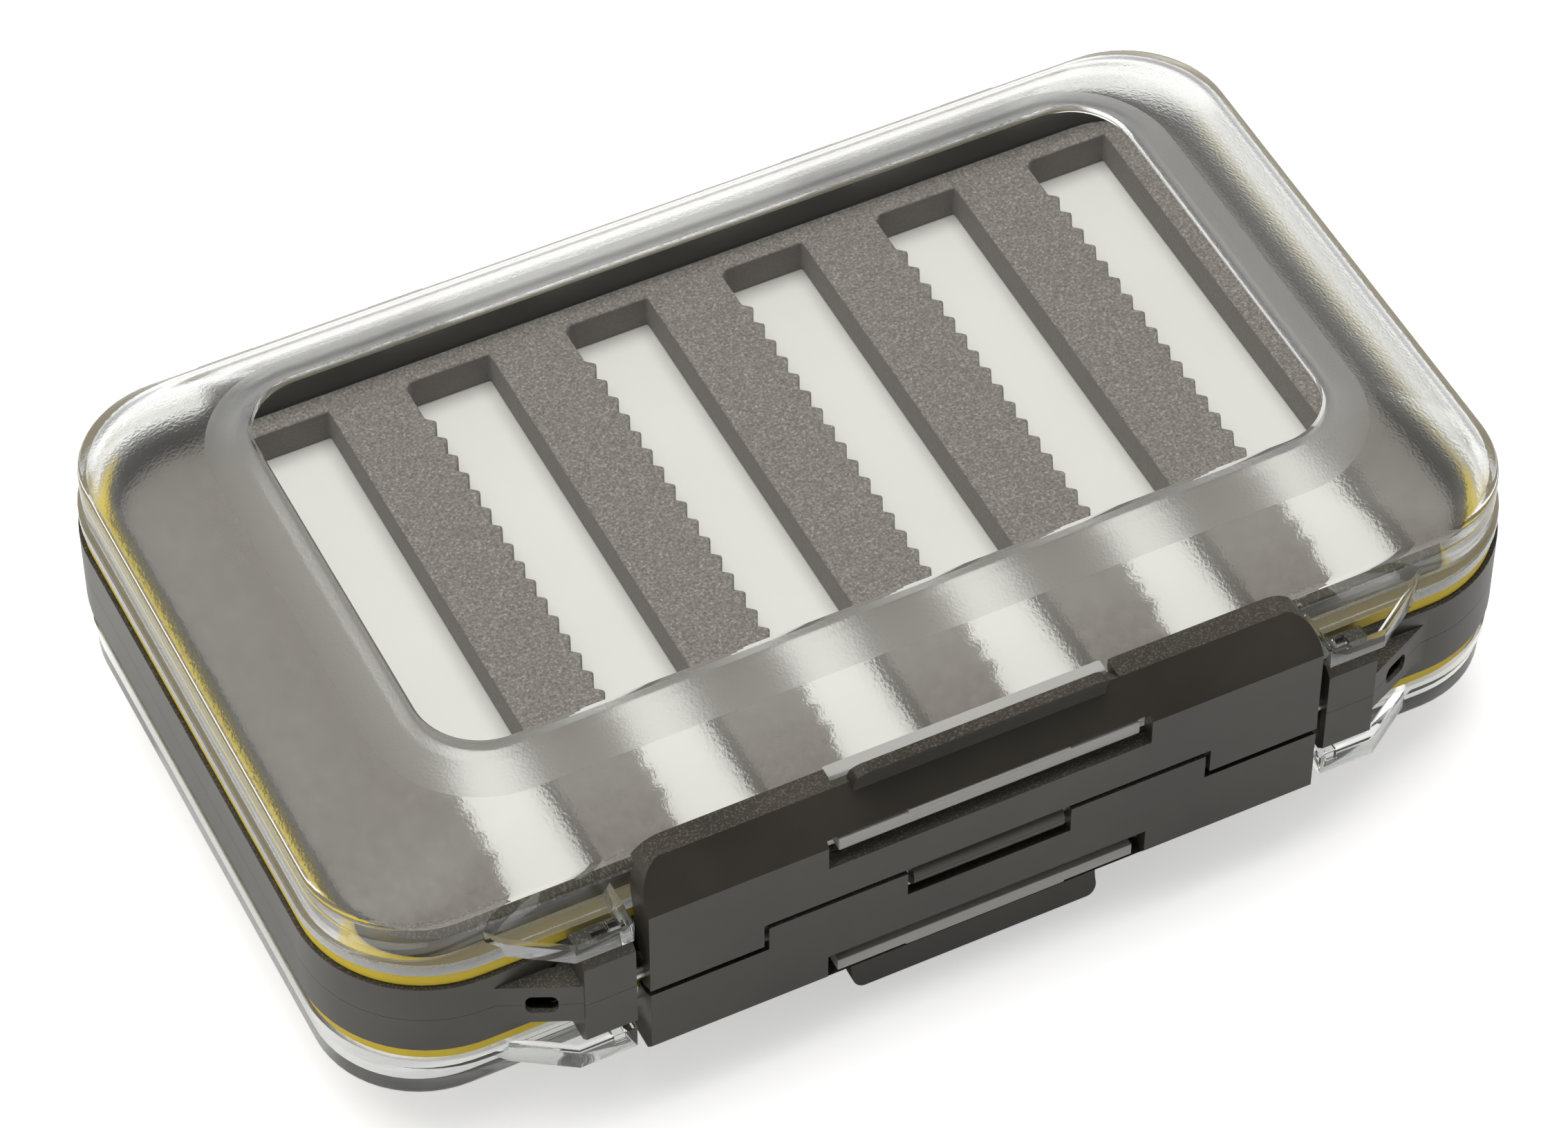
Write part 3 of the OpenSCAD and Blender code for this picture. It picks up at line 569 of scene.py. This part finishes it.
def lid_shell(bm):
    """The lid's closed skin, from the foot of the rim up the outside and down the inside."""
    # the edge of the rim, eased at its top, and the foot of the wall
    outer = [
        beside(RIM, 0, RIM_FOOT),
        beside(RIM, 0, RIM_TOP - 0.25),
        beside(RIM, -0.2, RIM_TOP, -0.2),
        beside(WALL, 0.25, RIM_TOP + 0.03, 0.2),
        beside(WALL, 0, RIM_TOP + 0.25),
    ]
    # the small round at the top of the wall
    for i in range(ROUND_STEPS + 1):
        turn = radians(WALL_TURN * i / ROUND_STEPS)
        skin = PEELED if i == ROUND_STEPS else POLISHED
        outer.append(beside(WALL, -WALL_ROUND * (1 - cos(turn)),
                            WALL_TOP + WALL_ROUND * sin(turn), skin=skin))
    # the domed shoulder, from that round to the fold
    low = outer[-1]
    for i in range(1, SHOULDER_STEPS + 1):
        t = i / SHOULDER_STEPS
        rise = t + SHOULDER_DOME * t * (1 - t)
        skin = FROSTED if i == SHOULDER_STEPS else PEELED
        plan = [a + (b - a) * t for a, b in zip(low[:3], FOLD)]
        outer.append((*plan, low[3] + (FOLD_HEIGHT - low[3]) * rise, skin))
    # the inner skin follows the last of the round and the whole shoulder
    inner = [
        beside(WALL_INSIDE, 0.3, RIM_FOOT + 0.02, 0.2),
        beside(WALL_INSIDE, 0, RIM_FOOT + 0.3),
    ]
    for ring in outer[-SHOULDER_STEPS - 2:]:
        height = (ring[3] - SHOULDER_FOOT) / (FOLD_HEIGHT - SHOULDER_FOOT)
        lean = SHOULDER_LEAN[0] + (SHOULDER_LEAN[1] - SHOULDER_LEAN[0]) * height
        inner.append(beside(ring, -lean, ring[3] - SHOULDER_DROP, -lean * CORNER_LEAN))
    # the frosted border and the window, each edge eased by a pair of rings beside it
    outer += [
        beside(BORDER, 0.2, BORDER_HEIGHT - 0.08, skin=FROSTED),
        beside(BORDER, -0.2, BORDER_HEIGHT + 0.18, -0.2, FROSTED),
        beside(WINDOW, 0.2, LID_TOP - 0.17, 0.2),
        beside(WINDOW, -0.15, LID_TOP, -0.15),
    ]
    inner += [
        beside(BORDER, -0.4, BORDER_HEIGHT - 1.8, -0.3),
        beside(WINDOW, -0.2, LID_TOP - 1.9, -0.2),
    ]
    outside = loft(bm, outer)
    inside = loft(bm, inner)
    sealing = bmesh.ops.bridge_loops(bm, edges=outside[0] + inside[0])
    for face in sealing["faces"]:
        face.material_index = SEALING
    bmesh.ops.edgeloop_fill(bm, edges=outside[-1])
    bmesh.ops.edgeloop_fill(bm, edges=inside[-1])
    bmesh.ops.recalc_face_normals(bm, faces=bm.faces)


FITTING_EDGE = 0.12         # edge radius of the small parts of the moulding, mm
FITTING_CORNER = 30         # edges sharper than this are rounded, degrees
TRAY_WALL = 1.2             # mm
TRAY_FLOOR = 1.35           # height of the floor above the tray's foot, mm
TRAY_FOOT = RIM_FOOT + 0.1
WALL_BACK = -42.15          # just inside the front wall of the lid, where fittings root
BAY_PLAN = [(-39.2, -47.9), (39.2, -47.9), (39.2, WALL_BACK), (-39.2, WALL_BACK)]
WING_PLAN = [(43.0, -49.4), (50.0, -49.4), (56.5, -45.1), (58.0, -43.4), (58.0, WALL_BACK),
             (43.0, WALL_BACK)]
RIB_X = 44.9
HINGE_X = 38
HINGE_LENGTH = 14
PIN_Y = 47.6
PIN_HEIGHT = 6.45
KNUCKLE_RADIUS = 2.3
KNUCKLE_BORE = 1.05
KNUCKLE_STEPS = 48


def soften(bm, radius):
    """Rounds every sharp edge of a plain solid, as the mould leaves it."""
    sharp = [e for e in bm.edges if e.calc_face_angle(0) > radians(FITTING_CORNER)]
    bmesh.ops.bevel(bm, geom=sharp, offset=radius * MM, segments=2, profile=0.5,
                    affect="EDGES", material=-1)


def tray(corners, height):
    """An open tray: a floor with an upright wall along the edge of its plan."""
    bm = bmesh.new()
    base = bm.faces.new([bm.verts.new((x * MM, y * MM, TRAY_FOOT * MM)) for x, y in corners])
    walls = bmesh.ops.extrude_face_region(bm, geom=[base])["geom"]
    lifted = [v for v in walls if isinstance(v, bmesh.types.BMVert)]
    bmesh.ops.translate(bm, verts=lifted, vec=(0, 0, height * MM))
    top = [f for f in walls if isinstance(f, bmesh.types.BMFace)]
    bmesh.ops.inset_region(bm, faces=top, thickness=TRAY_WALL * MM, use_even_offset=True)
    bmesh.ops.translate(bm, verts=top[0].verts, vec=(0, 0, (TRAY_FLOOR - height) * MM))
    bmesh.ops.recalc_face_normals(bm, faces=bm.faces)
    soften(bm, FITTING_EDGE)
    return bm


def block(low, high, radius=FITTING_EDGE, skin=POLISHED):
    """A box between two corners in millimetres, with its edges rounded."""
    bm = bmesh.new()
    made = bmesh.ops.create_cube(bm, size=1.0)["verts"]
    size = [(b - a) * MM for a, b in zip(low, high)]
    middle = [(a + b) / 2 * MM for a, b in zip(low, high)]
    bmesh.ops.scale(bm, vec=size, verts=made)
    bmesh.ops.translate(bm, vec=middle, verts=made)
    soften(bm, radius)
    for face in bm.faces:
        face.material_index = skin
    return bm


def knuckle(x):
    """A hinge tube along X: the outline of its wall, spun round the pin."""
    wall = KNUCKLE_RADIUS - KNUCKLE_BORE
    wall_middle = PIN_Y + (KNUCKLE_RADIUS + KNUCKLE_BORE) / 2
    bm = bmesh.new()
    made = bmesh.ops.create_grid(bm, x_segments=1, y_segments=1, size=0.5)["verts"]
    bmesh.ops.scale(bm, vec=(HINGE_LENGTH * MM, wall * MM, 1), verts=made)
    bmesh.ops.translate(bm, vec=(x * MM, wall_middle * MM, PIN_HEIGHT * MM), verts=made)
    bmesh.ops.delete(bm, geom=bm.faces[:], context="FACES_ONLY")
    bmesh.ops.spin(bm, geom=made + bm.edges[:], cent=(x * MM, PIN_Y * MM, PIN_HEIGHT * MM),
                   axis=(1, 0, 0), angle=radians(360), steps=KNUCKLE_STEPS, use_merge=True)
    bmesh.ops.recalc_face_normals(bm, faces=bm.faces)
    return bm


def join_moulding(body, extra):
    """Joins a second solid to the first, as both come out of one mould."""
    union = body.modifiers.new("one_moulding", "BOOLEAN")
    union.operation = "UNION"
    union.solver = "MANIFOLD"
    union.object = extra
    graph = bpy.context.evaluated_depsgraph_get()
    body.data = bpy.data.meshes.new_from_object(body.evaluated_get(graph))
    body.modifiers.clear()
    bpy.data.objects.remove(extra)


latch_bay = tray(BAY_PLAN, height=2.8)
latch_bar = block((-18.55, -49.6, 9.8), (18.55, -47.0, 11.5), skin=ETCHED)
bar_middle = block((-10.0, -49.55, 10.4), (10.0, -47.05, 11.8), skin=ETCHED)
ledge_behind_lip = block((-17.2, -44.15, 12.4), (17.2, -42.4, 15.6), radius=0.3,
                         skin=ETCHED)
fittings = [latch_bay, latch_bar, bar_middle, ledge_behind_lip]
for s in (-1, 1):
    rib, hinge = s * RIB_X, s * HINGE_X
    wing = tray([(s * x, y) for x, y in WING_PLAN[::s]], height=3.3)
    wing_rib = block((rib - 0.7, -48.5, TRAY_FOOT + 1), (rib + 0.7, -47.1, TRAY_FOOT + 2.5))
    hinge_arm = block((hinge - 6.9, 43.0, TRAY_FOOT + 0.05), (hinge + 6.9, 46.3, 8.62),
                      radius=0.08)
    fittings += [wing, wing_rib, hinge_arm, knuckle(hinge)]

bm = bmesh.new()
lid_shell(bm)
lid = place_mesh("lid_moulding", bm, LID_SKINS)
for bm in fittings:
    join_moulding(lid, place_mesh("lid_fitting", bm, LID_SKINS))

LID_CREASE = 33             # edges sharper than this stay crisp, degrees
FLAT_FACE = 0.9999          # a face whose normal rises more than this is flat, as the window is
for side in SIDES:
    bm = bmesh.new()
    bm.from_mesh(lid.data)
    if side == "lower":
        bmesh.ops.scale(bm, vec=(1, 1, -1), verts=bm.verts)
        bmesh.ops.reverse_faces(bm, faces=bm.faces)
    bmesh.ops.translate(bm, vec=(0, 0, MID), verts=bm.verts)
    piece = place_mesh(side + "_lid_clear_moulding", bm, LID_SKINS)
    # creases are set first, because that makes every face smooth again
    piece.data.set_sharp_from_angle(angle=radians(LID_CREASE))
    curved = [abs(face.normal.z) < FLAT_FACE for face in piece.data.polygons]
    piece.data.polygons.foreach_set("use_smooth", curved)
    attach(piece, side + "_lid")
    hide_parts(side + "_lid")
bpy.data.objects.remove(lid)


# ---------------------------------------------------------------- latches
# Wide charcoal ABS latches that share one steel pin; each stands over the bar of its lid.
# Their edges are softer than the frame's and the turned-in flange is textured, its grain
# painted pale as lit.
LATCH_ABS = "#312D27"
# paler charcoal: for the random blotches, and as painted light on the grain of level faces
LATCH_PALE_AND_LIT = "#5E5950"
LATCH_ROUGH = 0.34
LATCH_EDGE = 0.35           # mm
LATCH_CORNER = 30           # edges sharper than this are rounded, degrees

latch_abs = charcoal("charcoal_abs_latch", LATCH_ABS, LATCH_PALE_AND_LIT, LATCH_ROUGH)
for side in SIDES:
    node = side + "_latch"
    piece = place_mesh(node + "_moulding", copy_node(node), [latch_abs])
    round_edges(piece, LATCH_EDGE, 3, LATCH_CORNER)
    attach(piece, node)
    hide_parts(node)


# ---------------------------------------------------------------- pins
# Plain drawn steel wire: one long pin for the latches and a short one for each hinge.
# It is bright, with faint draw lines along it.
STEEL = "#C4C4C2"
STEEL_ROUGH = (0.22, 0.4)
DRAW_LINE_MM = (16.67, 0.3333, 0.3333)      # size of a draw line along and across the wire

steel, tree, out = empty_material("drawn_steel_wire")
place = add(tree, "ShaderNodeTexCoord")
stretch = add(tree, "ShaderNodeMapping", {
    "Vector": place.outputs["Object"], "Scale": [1 / (size * MM) for size in DRAW_LINE_MM]})
lines = add(tree, "ShaderNodeTexNoise", {"Vector": stretch.outputs[0], "Scale": 1.0})
rough = add(tree, "ShaderNodeMapRange", {
    "Value": lines.outputs[0], "To Min": STEEL_ROUGH[0], "To Max": STEEL_ROUGH[1]})
wire = add(tree, "ShaderNodeBsdfPrincipled", {
    "Base Color": linear(STEEL), "Metallic": 1.0, "Roughness": rough.outputs[0]})
tree.links.new(wire.outputs[0], out.inputs["Surface"])
for node in ("latch_pin", "upper_hinge_pin_left", "upper_hinge_pin_right",
             "lower_hinge_pin_left", "lower_hinge_pin_right"):
    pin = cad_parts[node]
    pin.data.materials.clear()
    pin.data.materials.append(steel)
